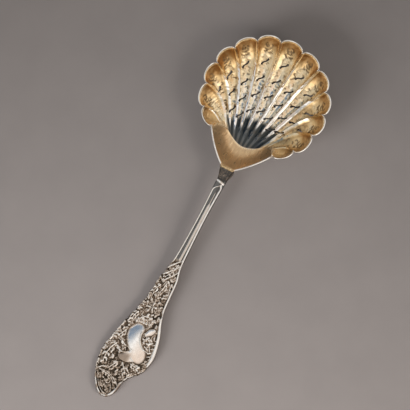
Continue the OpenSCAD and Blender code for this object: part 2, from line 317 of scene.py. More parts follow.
def stroke(field, u, y, points, radii, height, power=0.5):
    """Raises field to a ridge along a path. The radii are spread evenly from its start to its end."""
    path = curve_through(points, 5 * len(points)) if len(points) > 1 else np.array([points[0]] * 2)
    pad = max(radii)
    spread = np.linspace(0, 1, len(radii))
    near = ((u > path[:, 0].min() - pad) & (u < path[:, 0].max() + pad)
            & (y > path[:, 1].min() - pad) & (y < path[:, 1].max() + pad))
    if not near.any():
        return
    pu, py = u[near], y[near]
    best = np.zeros(pu.shape)
    steps = len(path) - 1
    for k in range(steps):
        a, b = path[k], path[k + 1]
        run = b - a
        long = max(run @ run, 1e-9)
        q = np.clip(((pu - a[0]) * run[0] + (py - a[1]) * run[1]) / long, 0, 1)
        d2 = (pu - a[0] - q * run[0]) ** 2 + (py - a[1] - q * run[1]) ** 2
        r = np.interp((k + q) / steps, spread, radii)
        best = np.maximum(best, np.maximum(0, 1 - d2 / r**2))
    field[near] = np.maximum(field[near], height * best**power)


def blurred(a, passes):
    """Field smoothed by repeated averaging with its neighbours."""
    for _ in range(passes):
        for axis in (0, 1):
            p = np.concatenate([a.take([0], axis), a, a.take([-1], axis)], axis)
            n = a.shape[axis]
            a = (p.take(range(n), axis) + 2 * a + p.take(range(2, n + 2), axis)) / 4
    return a


# Meshes
def placed(name, data):
    obj = bpy.data.objects.new(name, data)
    bpy.context.scene.collection.objects.link(obj)
    return obj


def mesh_object(name, points, faces, materials, slots=0):
    """Object from points in millimetres. Slots is a material number for all faces, or one for each."""
    mesh = bpy.data.meshes.new(name)
    mesh.from_pydata((points * MM).tolist(), [], faces)
    for material in materials:
        mesh.materials.append(material)
    mesh.polygons.foreach_set("material_index", np.full(len(faces), slots, np.int32))
    mesh.polygons.foreach_set("use_smooth", np.ones(len(faces), bool))
    mesh.update()
    return placed(name, mesh)


def grid_faces(index, flip=False):
    """Quads of a grid of point numbers."""
    a, b, c, d = index[:-1, :-1], index[:-1, 1:], index[1:, 1:], index[1:, :-1]
    quads = np.stack([a, d, c, b] if flip else [a, b, c, d], axis=-1)
    return quads.reshape(-1, 4).tolist()


def store(mesh, name, values):
    layer = mesh.attributes.new(name, "FLOAT", "POINT")
    layer.data.foreach_set("value", np.ascontiguousarray(values, np.float32))


# Materials
def new_tree(owner):
    """Empty node tree of a material or a world."""
    owner.use_nodes = True
    owner.node_tree.nodes.clear()
    return owner.node_tree


def add_node(tree, kind, inputs, out=None, **settings):
    """Adds a node and gives one of its outputs. Each input is a value or another node's output."""
    node = tree.nodes.new("ShaderNode" + kind)
    for name, value in settings.items():
        setattr(node, name, value)
    for name, value in inputs.items():
        if isinstance(value, bpy.types.NodeSocket):
            tree.links.new(value, node.inputs[name])
        else:
            node.inputs[name].default_value = value
    return out and node.outputs[out]


def surface(tree, inputs):
    add_node(tree, "OutputMaterial", {"Surface": add_node(tree, "BsdfPrincipled", inputs, "BSDF")})


def noise(tree, scale, detail=4, rough=0.55):
    coords = add_node(tree, "TexCoord", {}, "Object")
    inputs = {"Vector": coords, "Scale": scale, "Detail": detail, "Roughness": rough}
    return add_node(tree, "TexNoise", inputs, "Fac")


def attribute(tree, name):
    return add_node(tree, "Attribute", {}, "Fac", attribute_name=name)


def ramp(tree, value, stops):
    node = tree.nodes.new("ShaderNodeValToRGB")
    elements = node.color_ramp.elements
    while len(elements) < len(stops):
        elements.new(0.5)
    for element, (place, color) in zip(elements, stops):
        element.position = place
        element.color = (*color, 1)
    tree.links.new(value, node.inputs["Fac"])
    return node.outputs["Color"]


def math_node(tree, kind, a, b):
    return add_node(tree, "Math", {0: a, 1: b}, "Value", operation=kind, use_clamp=True)


def blended(tree, color, tint, amount):
    inputs = {"A": color, "B": (*tint, 1), "Factor": amount}
    return add_node(tree, "Mix", inputs, "Result", data_type="RGBA")


def stained(tree, color, mark, stain, start=0, gain=1):
    """Colour that turns to a stain where a mark on the mesh is above start, sooner with more gain."""
    above = math_node(tree, "SUBTRACT", attribute(tree, mark), start)
    return blended(tree, color, stain, math_node(tree, "MULTIPLY", above, gain))


def grey(value):
    return (value, value, value)


# Clouds in the metal: scale and middle level. Depth of its scratches, in metres
CLOUD_SCALE = 520
CLOUD_MID = 0.35
SCRATCH_DEPTH = 0.0002


def metal(name, stops, rough, mark="recess", grain=900, stains=(), rubbed=0.06, patchy=0.28):
    """Polished metal whose colour and roughness follow a mark stored on the mesh, broken by noise."""
    material = bpy.data.materials.new(name)
    tree = new_tree(material)
    cloud = math_node(tree, "SUBTRACT", noise(tree, CLOUD_SCALE), CLOUD_MID)
    level = math_node(tree, "ADD", attribute(tree, mark), math_node(tree, "MULTIPLY", cloud, patchy))
    color = ramp(tree, level, stops)
    for stain in stains:
        color = stained(tree, color, *stain)
    rough_level = ramp(tree, level, [(place, grey(value)) for place, value in rough])
    scratches = {"Strength": rubbed, "Distance": SCRATCH_DEPTH, "Height": noise(tree, grain, 3)}
    surface(tree, {"Metallic": 1, "Base Color": color, "Roughness": rough_level,
                   "Normal": add_node(tree, "Bump", scratches, "Normal")})
    return material


# On the stem, the silver's dark second stain is painted dark reflection, with tarnish in the channel
silver = metal(
    "silver",
    [(0, (0.92, 0.9, 0.86)), (0.35, (0.6, 0.5, 0.41)), (0.75, (0.21, 0.15, 0.105)),
     (1, (0.065, 0.05, 0.036))],
    [(0, 0.13), (0.12, 0.26), (1, 0.5)], stains=(("stem_tarnish_and_dark_reflection", (0.05, 0.05, 0.05)),))
# Gilt: the top of its gilding mark is a brown that paints shade in the hollow lobe ends and on the flute
# flanks
gilt = metal(
    "gilt",
    [(0, (0.94, 0.91, 0.87)), (0.25, (0.89, 0.75, 0.52)), (0.6, (0.77, 0.54, 0.27)),
     (1, (0.34, 0.17, 0.055))],
    [(0, 0.16), (0.5, 0.26), (1, 0.4)], mark="gilding_and_shade", rubbed=0.045, patchy=0.6,
    stains=(("blush", (0.95, 0.69, 0.42)), ("recess", (0.2, 0.13, 0.066), 0.15, 1.5),
            # Tarnish stain, which also paints the dark reflection where the flutes start
            ("flute_tarnish_and_dark_reflection", (0.045, 0.049, 0.048))))
solder = metal(
    "solder", [(0, (0.85, 0.7, 0.48)), (0.5, (0.6, 0.42, 0.22)), (1, (0.25, 0.16, 0.08))],
    [(0, 0.3), (1, 0.5)], grain=1500)
sawn = metal("sawn", [(0, (0.1, 0.075, 0.05)), (1, (0.03, 0.022, 0.015))], [(0, 0.4), (1, 0.6)])

# Bowl: the grid of its points, with columns that crowd towards the ridges
LOBE_COLS = 24
HEEL_ROWS = 16
FAN_ROWS = 128
EDGE_STEPS = 4
SHARP_ANGLE = math.radians(50)
CROWDING = 0.5
# Rounds that even out the heel, and the shares of it over which that fades, behind and in front
HEEL_BLUR = 900
HEEL_BACK = 0.3
HEEL_FRONT = 0.2

crowded = (1 - np.cos(np.linspace(0, math.pi, LOBE_COLS + 1)[:-1])) / 2
places = mix(np.linspace(0, 1, LOBE_COLS + 1)[:-1], crowded, CROWDING)
cols_t = np.hstack([k + places for k in range(LOBES)] + [[LOBES]]) - HALF
mid_t = np.array(0.0)
fan_v = share_from_rim(mid_t, flute_run(mid_t) * np.linspace(1, 0, FAN_ROWS + 1))
rows_v = np.hstack([np.linspace(0, 1, HEEL_ROWS + 1)[:-1], np.clip(fan_v, 1, 2)])
T, V = np.meshgrid(cols_t, rows_v)
inner = inner_pt(T, V)
normal = skin_normal(T, V)
outer = inner + SHEET * normal
heel_keep = np.where(V < 1, rise(V, 0, HEEL_BACK) * fall(V, 1, HEEL_FRONT), 0)[..., None]
even_heel = inner.copy()
for _ in range(HEEL_BLUR):
    even_heel[:, 1:-1] = (even_heel[:, :-2] + 2 * even_heel[:, 1:-1] + even_heel[:, 2:]) / 4
inner = mix(inner, even_heel, heel_keep)
lift = -outer[..., 2].min() - BELLY_FLAT
outer[..., 2] = np.maximum(outer[..., 2], -lift)
bowl_shift = np.array([bowl_hi.x / MM - outer[..., 0].max(), 0, lift])

# Distances: from the rim along each flute, across it from its middle and from the nearest ridge, and from
# its start
fan_rows = V >= 1
steps = np.linalg.norm(np.diff(inner, axis=0), axis=-1)
from_rim = np.vstack([np.cumsum(steps[::-1], axis=0)[::-1], np.zeros((1, len(cols_t)))])
lobe_no = np.clip(np.floor(cols_t + HALF), 0, LOBES - 1).astype(int)
from_rim = from_rim[:, LOBE_COLS // 2::LOBE_COLS][:, lobe_no]
widths = np.linalg.norm(np.diff(inner[:, ::LOBE_COLS], axis=1), axis=-1)[:, lobe_no]
F = lobe_share(T)
across = (F - 0.5) * widths
ridge_off = np.minimum(F, 1 - F) * widths
from_start = np.linalg.norm(inner[..., :2] - start_xy(T), axis=-1)

# Chasing: scrolls behind each lobe, by distance from the rim and place across the flute, then small curls
# along both sides and punch marks all over. Pairs are the least and the most of a size
MOTIF = (
    ((4.2, 0.3), (5.4, 1.2), (6.7, 0.7), (6.6, -0.4), (5.7, -0.3)),
    ((7.6, 1.2), (8.3, 0.1), (7.6, -1.1), (6.4, -1.5)),
    ((8.8, 1.9), (9.6, 1), (9.3, 0)),
    ((8.5, -1.8), (9.5, -1.3), (10.2, -0.4)),
    ((5, -1.5), (5.9, -1.9)),
)
MOTIF_SHAKE = 0.35
MOTIF_RADII = (0.36, 0.58, 0.38)
MOTIF_H = (0.65, 1)
CURLS_AT = np.arange(10.5, 46, 1.9)
CURL_SHAKE = 0.5
CURL_ACROSS = (0.9, 2.4)
CURL_R = (0.5, 0.9)
CURL_ANGLES = (0, 1.1, 2.2)
CURL_RADII = (0.3, 0.5)
CURL_H = (0.3, 0.8)
PUNCH_MARKS = 60
PUNCH_AT = (8, 46)
PUNCH_ACROSS = 2.7
PUNCH_RADII = (0.36, 0.36)
PUNCH_H = (0.2, 0.55)
CUT_DEPTH = 0.26
# Where the chasing begins, in the middle flutes and in the side ones
CUT_FROM = (9, 4)
punch_rng = np.random.default_rng(17)

cut = np.zeros(T.shape)
for lobe in range(LOBES):
    own = lobe_no == lobe
    d_own, a_own = from_rim[:, own], across[:, own]
    own_cut = np.zeros(d_own.shape)
    facing = rng.choice((-1, 1))
    for scroll in MOTIF:
        path = [np.array([d, facing * a]) + rng.uniform(-MOTIF_SHAKE, MOTIF_SHAKE, 2) for d, a in scroll]
        stroke(own_cut, d_own, a_own, path, MOTIF_RADII, rng.uniform(*MOTIF_H))
    for d in CURLS_AT:
        for side in (-1, 1):
            at = np.array([d + rng.uniform(-CURL_SHAKE, CURL_SHAKE), side * rng.uniform(*CURL_ACROSS)])
            a = rng.uniform(0, 2 * math.pi)
            r = rng.uniform(*CURL_R)
            curl = [at + r * heading(a + q) for q in CURL_ANGLES]
            stroke(own_cut, d_own, a_own, curl, CURL_RADII, rng.uniform(*CURL_H))
    for _ in range(PUNCH_MARKS):
        at = (punch_rng.uniform(*PUNCH_AT), punch_rng.uniform(-PUNCH_ACROSS, PUNCH_ACROSS))
        stroke(own_cut, d_own, a_own, [at], PUNCH_RADII, punch_rng.uniform(*PUNCH_H))
    cut[:, own] = own_cut
cut_from = mix(*CUT_FROM, rise(np.abs(T), 2.8, 1.2))
cut *= fan_rows * rise(ridge_off, 0.5, 0.9) * rise(from_rim, 3, 1.5) * rise(from_start, cut_from, 4)

# Skin: hammered flutes, a heel mottled in cells a few columns wide, and a bead on each ridge
HAMMER = 0.6
HAMMER_BLUR = 6
HEEL_HAMMER = 0.12
CELL = 3
BEAD_FROM = (9, 3)
hammered = (blurred(rng.uniform(-1, 1, T.shape), HAMMER_BLUR) * fan_rows
            * rise(from_rim, 0, 2) * rise(from_start, 4, 6))
cells = np.random.default_rng(11).uniform(-1, 1, (T.shape[0], T.shape[1] // CELL + 1))
mottle = blurred(np.repeat(cells, CELL, axis=1)[:, :T.shape[1]], 1)
mottle = mottle * ~fan_rows * rise(V, 0, 0.1) * fall(V, 1, 0.1)
bead = dome(ridge_off / BEAD_R) * rise(from_start, *BEAD_FROM) * rise(from_rim, 0, 1.5)
bead *= fan_rows * (np.abs(T) < HALF - 0.5)
for depth, form in ((CUT_DEPTH, cut), (HAMMER, hammered), (HEEL_HAMMER, mottle), (-BEAD_H, bead)):
    inner += depth * form[..., None] * normal

# Gilding in every flute, on its outer part and on the heel, turned darker behind each lobe and on the flute's
# flanks as painted shade. It is paler behind the side lobes, and deeper down the right flutes and in one on
# the left
GILT_FLUTE = 0.07
GILT_OUTER = 0.24
LOBE_SHADE = 0.46
FLANK_SHADE = 0.2
GILT_HEEL = 0.85
GILT_RIGHT = 0.3
GILT_LEFT = 0.15
HEEL_MOTTLE = 0.7
PALE_SHARE = 0.75
# Ridges: how bare they are rubbed, and how much less so on the right and on the left
RIDGE_BARE = 0.14
RIDGE_RIGHT = 0.36
RIDGE_LEFT = 0.16
# Half width of the rubbing at the heel and at the rim, its most as a share of the flute, and its share at
# the sides
RUB_W = (1, 0.5)
RUB_SHARE = 0.28
SIDE_RUB = 0.5
ridge_w = np.minimum(mix(*RUB_W, rise(V, 1, 0.6)), RUB_SHARE * widths)
ridge_w = ridge_w * mix(1, SIDE_RUB, rise(np.abs(T), 2, 2))
ridge_near = (1 - rise(ridge_off, ridge_w, 0.35)) * fan_rows
pale_side = rise(-T, 1.5, 2) + rise(T, 4.2, 0.6)
gilding_and_shade = GILT_FLUTE + GILT_OUTER * (1 - rise(from_rim, 10, 20))
gilding_and_shade += LOBE_SHADE * (1 - rise(from_rim, 4.5, 7)) * mix(1, PALE_SHARE, pale_side)
gilding_and_shade += FLANK_SHADE * smooth(np.abs(F - 0.5) * 2.2 - 0.25)
gilding_and_shade = np.where(fan_rows, gilding_and_shade, GILT_HEEL)
gilding_and_shade += GILT_RIGHT * rise(-T, 1.6, 1.5) * rise(from_rim, 9, 6) * fan_rows
gilding_and_shade += GILT_LEFT * bell(T, 3, 0.8) * fan_rows
off_rim = smooth((from_rim - 0.7) / 0.4 + ~fan_rows)
gilding_and_shade = gilding_and_shade * (1 - ridge_near) * off_rim + HEEL_MOTTLE * mottle
bare = RIDGE_BARE - RIDGE_RIGHT * rise(-T, 2.7, 1.5) - RIDGE_LEFT * rise(T, 2.7, 1)
gilding_and_shade -= bare * ridge_near

# Tarnish under a painted dark reflection where the flutes start, with a ragged end, further out in the
# middle, nearer on the left and lighter on the ridges, and a film down the right flutes
DARK_ZONE_RUN = 12.6
DARK_ZONE_RIDGE = 7.5
RAGGED = 1.2
DARK_ZONE_MIDDLE = 3.5
DARK_ZONE_LEFT = 4.5
TARNISH_FILM = 0.3
RIDGE_LIGHTER = 0.08
floor_side = rise(T, -4, 0.9) * (1 - rise(T, 3.7, 0.8))
off_top = smooth((ridge_off - 0.35 * ridge_w) / (0.8 * ridge_w + 0.05))
ragged = rng.uniform(-RAGGED, RAGGED, LOBES)[lobe_no]
dark_zone_end = (mix(DARK_ZONE_RIDGE, DARK_ZONE_RUN + ragged, off_top)
               + DARK_ZONE_MIDDLE * bell(T, -0.6, 1.6) - DARK_ZONE_LEFT * rise(T, 1.2, 2))
flute_tarnish_and_dark_reflection = (1 - rise(from_start, dark_zone_end, 4)) * floor_side * fan_rows * rise(from_start, 0, 0.5)
flute_tarnish_and_dark_reflection *= 1 - RIDGE_LIGHTER * (1 - off_top)
film = TARNISH_FILM * rise(-T, 1.4, 1.2) * rise(from_rim, 11, 6) * fan_rows * rise(from_start, 0, 4)
flute_tarnish_and_dark_reflection = np.maximum(flute_tarnish_and_dark_reflection, film)

# Warm tone of the heel, dirt in the chasing and in the heel's mottling, and painted shade beside the ridges
BLUSH = 0.74
CUT_DIRT = 1.15
GROOVE_SHADE = 0.35
HEEL_SPECKS = 0.4
blush = BLUSH * (1 - rise(from_start, 1, 3) * fan_rows)
ridge_side_shade = bell(ridge_off, 0.95, 0.3) * fan_rows * rise(from_start, *BEAD_FROM)
recess_in = np.clip(CUT_DIRT * cut + GROOVE_SHADE * ridge_side_shade + HEEL_SPECKS * np.maximum(0, mottle), 0, 1)

grid = np.arange(T.size).reshape(T.shape)
n = T.size


def ring_of(a):
    """Edge of a grid, once round."""
    return np.concatenate([a[0, :-1], a[:-1, -1], a[-1, :0:-1], a[:0:-1, 0]])


def inside_of(a):
    """For each point of the edge, the next point inwards."""
    return np.concatenate([a[1, :-1], a[:-1, -2], a[-2, :0:-1], a[:0:-1, 1]])


rim_in = ring_of(inner)
rim_out = ring_of(outer)
lead_out = unit(rim_in - inside_of(inner))
middle = (rim_in + rim_out) / 2
edge_rings = []
for k in range(1, EDGE_STEPS):
    a = math.pi * k / EDGE_STEPS
    edge_rings.append(middle + (rim_in - middle) * math.cos(a) + lead_out * SHEET / 2 * math.sin(a))
ring_size = len(rim_in)
between = [2 * n + k * ring_size + np.arange(ring_size) for k in range(EDGE_STEPS - 1)]
edge_index = np.vstack([ring_of(grid)] + between + [ring_of(grid) + n])
edge_index = np.hstack([edge_index, edge_index[:, :1]])
bowl_points = np.vstack([inner.reshape(-1, 3), outer.reshape(-1, 3)] + edge_rings) + bowl_shift
inner_faces = grid_faces(grid, flip=True)
outer_faces = grid_faces(grid + n)
edge_faces = grid_faces(edge_index)
at_neck = np.abs(np.hstack([cols_t[:-1], np.full(ring_size - len(cols_t) + 1, HALF)])) < NECK_T + 0.1
edge_slots = np.tile(np.where(at_neck, 0, 1), EDGE_STEPS).tolist()
bowl = mesh_object("bowl", bowl_points, inner_faces + outer_faces + edge_faces, [gilt, silver, sawn],
                   [0] * len(inner_faces) + [1] * len(outer_faces) + edge_slots)


def slit_outline():
    """Outline of a slit: a bent saw cut between two round holes."""
    x = np.linspace(-1, 1, SLIT_POINTS)
    reach = (SLIT_LEN - SLIT_HOLE) / 2
    half_w = mix(SLIT_WAIST, SLIT_HOLE, np.abs(x) ** 3) / 2
    mid_y = SLIT_BEND * np.sin(math.pi * x)
    top, low = (stacked(x * reach, mid_y + side * half_w) for side in (1, -1))
    cap = polar(SLIT_HOLE / 2, CAP_ANGLES) + [reach, 0]
    return np.vstack([top, cap, low[::-1], -cap])[::-1]


def slit_cutters():
    """Points and faces of the prisms that cut the slits, all turned the same way."""
    a = math.radians(SLIT_TURN)
    turned = slit_outline() @ np.array([[math.cos(a), math.sin(a)], [-math.sin(a), math.cos(a)]])
    points, faces = [], []
    for lobe in range(LOBES):
        t = np.array(lobe + 0.5 - HALF)
        run = flute_run(t) - SLIT_MARGIN - SLIT_FOOT
        for k in range(0 if run < 0 else min(SLIT_MOST, 1 + int(run / SLIT_STEP))):
            v = share_from_rim(t, SLIT_MARGIN + k * SLIT_STEP)
            p = inner_pt(t, v)
            out = skin_normal(t, v)
            along = unit(inner_pt(t, v + 0.01) - p)
            ring = p + turned[:, :1] * along + turned[:, 1:] * np.cross(out, along)
            low = len(points) * len(ring) + np.arange(len(ring))
            high = low + len(ring)
            points += [ring - SLIT_REACH * out, ring + SLIT_REACH * out]
            faces += [low[::-1].tolist(), high.tolist()]
            faces += np.stack([low, np.roll(low, -1), np.roll(high, -1), high], axis=-1).tolist()
    return np.vstack(points) + bowl_shift, faces


cut_points, cut_faces = slit_cutters()
cutter = mesh_object("cutter", cut_points, cut_faces, [gilt, silver, sawn], 2)
saw = bowl.modifiers.new("slits", "BOOLEAN")
saw.object = cutter
saw.operation = "DIFFERENCE"
saw.solver = "MANIFOLD"
pierced = bpy.data.meshes.new_from_object(bowl.evaluated_get(bpy.context.evaluated_depsgraph_get()))
bowl.modifiers.clear()
bowl.data = pierced
bpy.data.objects.remove(cutter)
pierced.set_sharp_from_angle(angle=SHARP_ANGLE)

# Marks, from the nearest point of the grid. Outside, the grooves between the lobes are dull
OUTSIDE_DULL = 0.05
OUTSIDE_GROOVE = 0.4
GROOVE_W = 0.7
grid_tree = KDTree(2 * n)
for k, p in enumerate(bowl_points[:2 * n] * MM):
    grid_tree.insert(p, k)
grid_tree.balance()
nearest = np.array([grid_tree.find(v.co)[1] for v in pierced.vertices])
dull_groove = OUTSIDE_GROOVE * bell(ridge_off, 0, GROOVE_W) * fan_rows * rise(from_rim, 0, 3)
outside = OUTSIDE_DULL + dull_groove
store(pierced, "recess", np.hstack([recess_in.ravel(), outside.ravel()])[nearest])
for mark, values in (("gilding_and_shade", gilding_and_shade), ("flute_tarnish_and_dark_reflection", flute_tarnish_and_dark_reflection), ("blush", blush)):
    store(pierced, mark, values.ravel()[nearest % n])

# Handle: its two sides, as shares of the end's length and width
LEFT_SIDE = ((0, 0.12), (0.03, 0.27), (0.07, 0.37), (0.12, 0.45), (0.2, 0.52), (0.3, 0.53), (0.4, 0.47),
             (0.5, 0.39), (0.6, 0.305), (0.7, 0.235), (0.8, 0.21), (0.92, 0.15))
RIGHT_SIDE = ((0, -0.07), (0.03, 0.06), (0.07, 0.115), (0.13, 0.14), (0.18, 0.215), (0.23, 0.355),
              (0.28, 0.43), (0.35, 0.475), (0.42, 0.45), (0.5, 0.385), (0.58, 0.285), (0.65, 0.227),
              (0.75, 0.203), (0.86, 0.18), (0.94, 0.122))
STEM_END = END_LEN + STEM_LEN


def side_curve(shares):
    ends = ((END_LEN, STEM_W / 2), (END_LEN + STEM_LEN * WAIST_AT, WAIST_W / 2),
            (STEM_END, mix(WAIST_W, NECK_W, NECK_SHARE) / 2))
    p = np.array([(x * END_LEN, y * END_W) for x, y in shares] + list(ends))
    before = np.vstack([p[:1], p[:-1]])
    after = np.vstack([p[1:], p[-1:]])
    slope = (after - before)[:, 1] / (after - before)[:, 0]

    def at(u):
        k = np.clip(np.searchsorted(p[:, 0], u, side="right") - 1, 0, len(p) - 2)
        w = p[k + 1, 0] - p[k, 0]
        q = (u - p[k, 0]) / w
        return (mix(p[k, 1], p[k + 1, 1], smooth(q))
                + w * q * (1 - q) * (slope[k] * (1 - q) - slope[k + 1] * q))
    return at


# Leaf tips that stand out of the outline: distance from the tip, half length, height
LEFT_TIPS = ((38.6, 2.2, 0.5), (34.8, 1.8, 0.5), (31, 1.8, 0.4), (25, 2, 0.45), (20.6, 1.9, 0.45),
             (16.6, 1.8, 0.4), (13.2, 1.5, 0.4), (44, 2.4, 0.5), (49.6, 1.6, 0.5), (52.8, 1.3, 0.4),
             (57.8, 2.2, 0.5), (64.4, 1.5, 0.5), (68, 1.5, 0.5))
RIGHT_TIPS = ((20.2, 1.3, 0.4), (17.6, 1.2, 0.5), (15, 1.2, 0.5), (12.6, 1, 0.4))
# Wear: amount, start, end, and the lengths over which it comes and goes
LEFT_WEAR = (0.2, 10, 75, 3, 4)
RIGHT_WEAR = (0.15, 10, 22, 2, 2)
# Round end: length, middle, the two pulls of its curve, least half width and number of points
TIP_ROUND = 5.6
TIP_MID = 2.45
TIP_PULL = 3.2
TIP_LEAD = 2.6
TIP_LEAST = 0.4
TIP_POINTS = 200


def outline(u, side, mid, leaf_tips, worn):
    """Side of the handle, with a Bezier curve round its tip."""
    du = 0.05
    ends = side(np.array([TIP_ROUND - du, TIP_ROUND, TIP_ROUND + du]))
    slope = (ends[2] - ends[0]) / (2 * du)
    a, b = np.array([0, mid]), np.array([0, mid + TIP_PULL])
    c, d = np.array([TIP_ROUND - TIP_LEAD, ends[1] - TIP_LEAD * slope]), np.array([TIP_ROUND, ends[1]])
    q = np.linspace(0, 1, TIP_POINTS)[:, None]
    curve = a * (1 - q) ** 3 + 3 * b * q * (1 - q) ** 2 + 3 * c * q**2 * (1 - q) + d * q**3
    near = np.maximum(np.interp(u, curve[:, 0], curve[:, 1]), mid + TIP_LEAST)
    standing = sum(h * dome((u - c) / w) for c, w, h in leaf_tips)
    return np.where(u < TIP_ROUND, near, side(u)) + standing - span(u, *worn)


def left_at(u):
    return outline(u, side_curve(LEFT_SIDE), TIP_MID, LEFT_TIPS, LEFT_WEAR)


def right_at(u):
    return outline(u, side_curve(RIGHT_SIDE), -TIP_MID, RIGHT_TIPS, RIGHT_WEAR)


def under_z(u):
    return STEM_RISE * (np.maximum(0, u - LAND_LEN) / (STEM_END - LAND_LEN)) ** RISE_CURVE


# Relief, in millimetres from the tip and to the left of the middle line.
# Cartouche: path, radius at each point, and the power of its top, flatter with less
CARTOUCHE = (
    (((38.4, 1.9), (36, 2.6), (32.8, 1.5), (29.6, -0.9), (26.9, -4), (25.4, -4.8)),
     (3.9, 4.6, 4.3, 4.3, 4.5, 3.8), 0.2),
    (((25.6, -2.6), (23.2, 0.6), (22.2, 3.2)), (3.6, 2.9, 1.8), 0.06),
    (((37.6, -3), (39.6, -4.4), (41, -5.6)), (1.2, 1.9, 1.3), 0.1),
)
# Its height and middle, the direction that it bends in and how strongly
CARTOUCHE_H = 0.85
CARTOUCHE_MID = np.array([31.5, -1.0])
CARTOUCHE_LEAN = np.array([-0.69, -0.73])
CARTOUCHE_BEND = 0.008
# Scrolls and ribs: path, radius at the start, radius at the end, height
SCROLLS = (
    (((36.2, -2), (36.9, -1.6), (37.7, -1.8), (37.8, -2.6), (37.1, -3.1), (36.1, -2.6)), 0.28, 0.28, 0.9),
    (((37.7, -0.6), (35.1, -1.1), (32.5, -2.2), (30.4, -4.6), (29.7, -7.9)), 0.38, 0.3, 1),
    (((35.1, -3.4), (32.3, -3.8)), 0.5, 0.35, 0.9),
    (((33.6, -5), (34.4, -7.7)), 0.45, 0.4, 0.9),
    (((31.9, -5), (31.1, -7.2)), 0.45, 0.3, 0.85),
    (((36.9, -3.8), (36.2, -6.7)), 0.4, 0.35, 0.8),
    (((32.8, -7.4), (30.6, -8.5)), 0.35, 0.3, 0.8),
    (((26.2, 7.5), (25.1, 6.4), (24.4, 4.8), (24.7, 3.1), (25.8, 1.4)), 0.42, 0.3, 1.05),
    (((29.3, 6.5), (28.2, 4.4), (28, 2.2), (27.3, -0.3)), 0.36, 0.3, 0.95),
    (((27.8, 5.2), (26.2, 4.5)), 0.32, 0.3, 0.75),
    (((27.4, 3.5), (25.8, 2.8)), 0.32, 0.3, 0.75),
    (((30.8, 8.4), (30.4, 6)), 0.28, 0.28, 0.8),
    (((29.8, 8.4), (29.3, 6)), 0.28, 0.28, 0.8),
    (((11.5, 10.1), (12, 7), (11.5, 3.8), (10.2, 1.2), (8.9, -1.1), (6.9, -2.9)), 0.38, 0.3, 0.8),
    (((12.1, 10.7), (13.7, 9.1), (14.1, 7)), 0.55, 0.35, 0.9),
    (((9.7, 3.1), (7.7, 4.9), (5.6, 7.1)), 0.22, 0.5, 0.55),
    (((9.7, 3.1), (6.8, 3.8), (3.9, 4.8)), 0.22, 0.5, 0.55),
    (((9.7, 3.1), (6.4, 2.5), (3.2, 2.3)), 0.22, 0.5, 0.55),
    (((9.7, 3.1), (6.9, 1.3), (4.2, -0.1)), 0.22, 0.5, 0.55),
    (((9.7, 3.1), (7.8, 0.5), (6, -1.8)), 0.22, 0.5, 0.55),
    (((6.5, 8.2), (3.9, 6.2), (2.1, 3.5), (1.8, 0.9), (3, -1.4)), 0.26, 0.26, 0.7),
    (((8.4, 3.6), (7.7, 4.3), (6.9, 3.6), (7.3, 2.4), (8.5, 2.2)), 0.3, 0.24, 0.95),
    (((80.2, -2), (77.4, 0.4), (73.6, 3.6)), 0.45, 0.65, 1),
    (((77.2, -2.4), (73.8, 0), (69.6, 3.8)), 0.4, 0.65, 0.95),
    (((74, -3), (70.8, -0.9), (66.8, 2.2)), 0.35, 0.6, 0.9),
)
# Small curls inside the right border: distance from the tip
CURLS = (36.7, 34.4, 32.2, 29.9, 27.7, 25.1)
# Buds: place, radius, height
BUDS = (
    (26.5, 1.6, 0.45, 1), (38.2, 7.3, 0.95, 1), (36, 8.9, 0.8, 0.9), (32.2, 7.8, 0.75, 1),
    (34, 9.7, 0.6, 0.8), (29.9, 11, 0.6, 0.8), (13.6, -0.1, 0.6, 0.8), (14.8, -2.8, 0.5, 0.8),
    (15, 1.9, 0.5, 0.7), (14.3, 6, 0.55, 0.7), (16.7, 3.4, 0.5, 0.7), (15.3, -4.4, 0.7, 0.9),
    (10.2, 10.7, 0.5, 0.9), (67.8, 4.6, 0.6, 0.9), (64.3, 4.9, 0.6, 0.9), (65.2, 1, 0.5, 0.8),
    (66.4, -2.7, 0.75, 1), (70.4, -3.2, 0.5, 0.8), (65.5, -2, 0.6, 0.8), (50.9, 5.6, 0.65, 0.9),
    (46.5, 6.1, 0.6, 0.9), (49, 6.4, 0.5, 0.8), (47.7, -5.9, 0.9, 1.1), (45.3, -3.7, 0.65, 0.9),
    (42.9, 3.6, 0.45, 0.9), (41.7, 5, 0.45, 0.9), (42.6, 0.5, 0.45, 0.8), (42, -2.7, 0.5, 0.9),
    (46, 3.9, 0.5, 0.8),
)
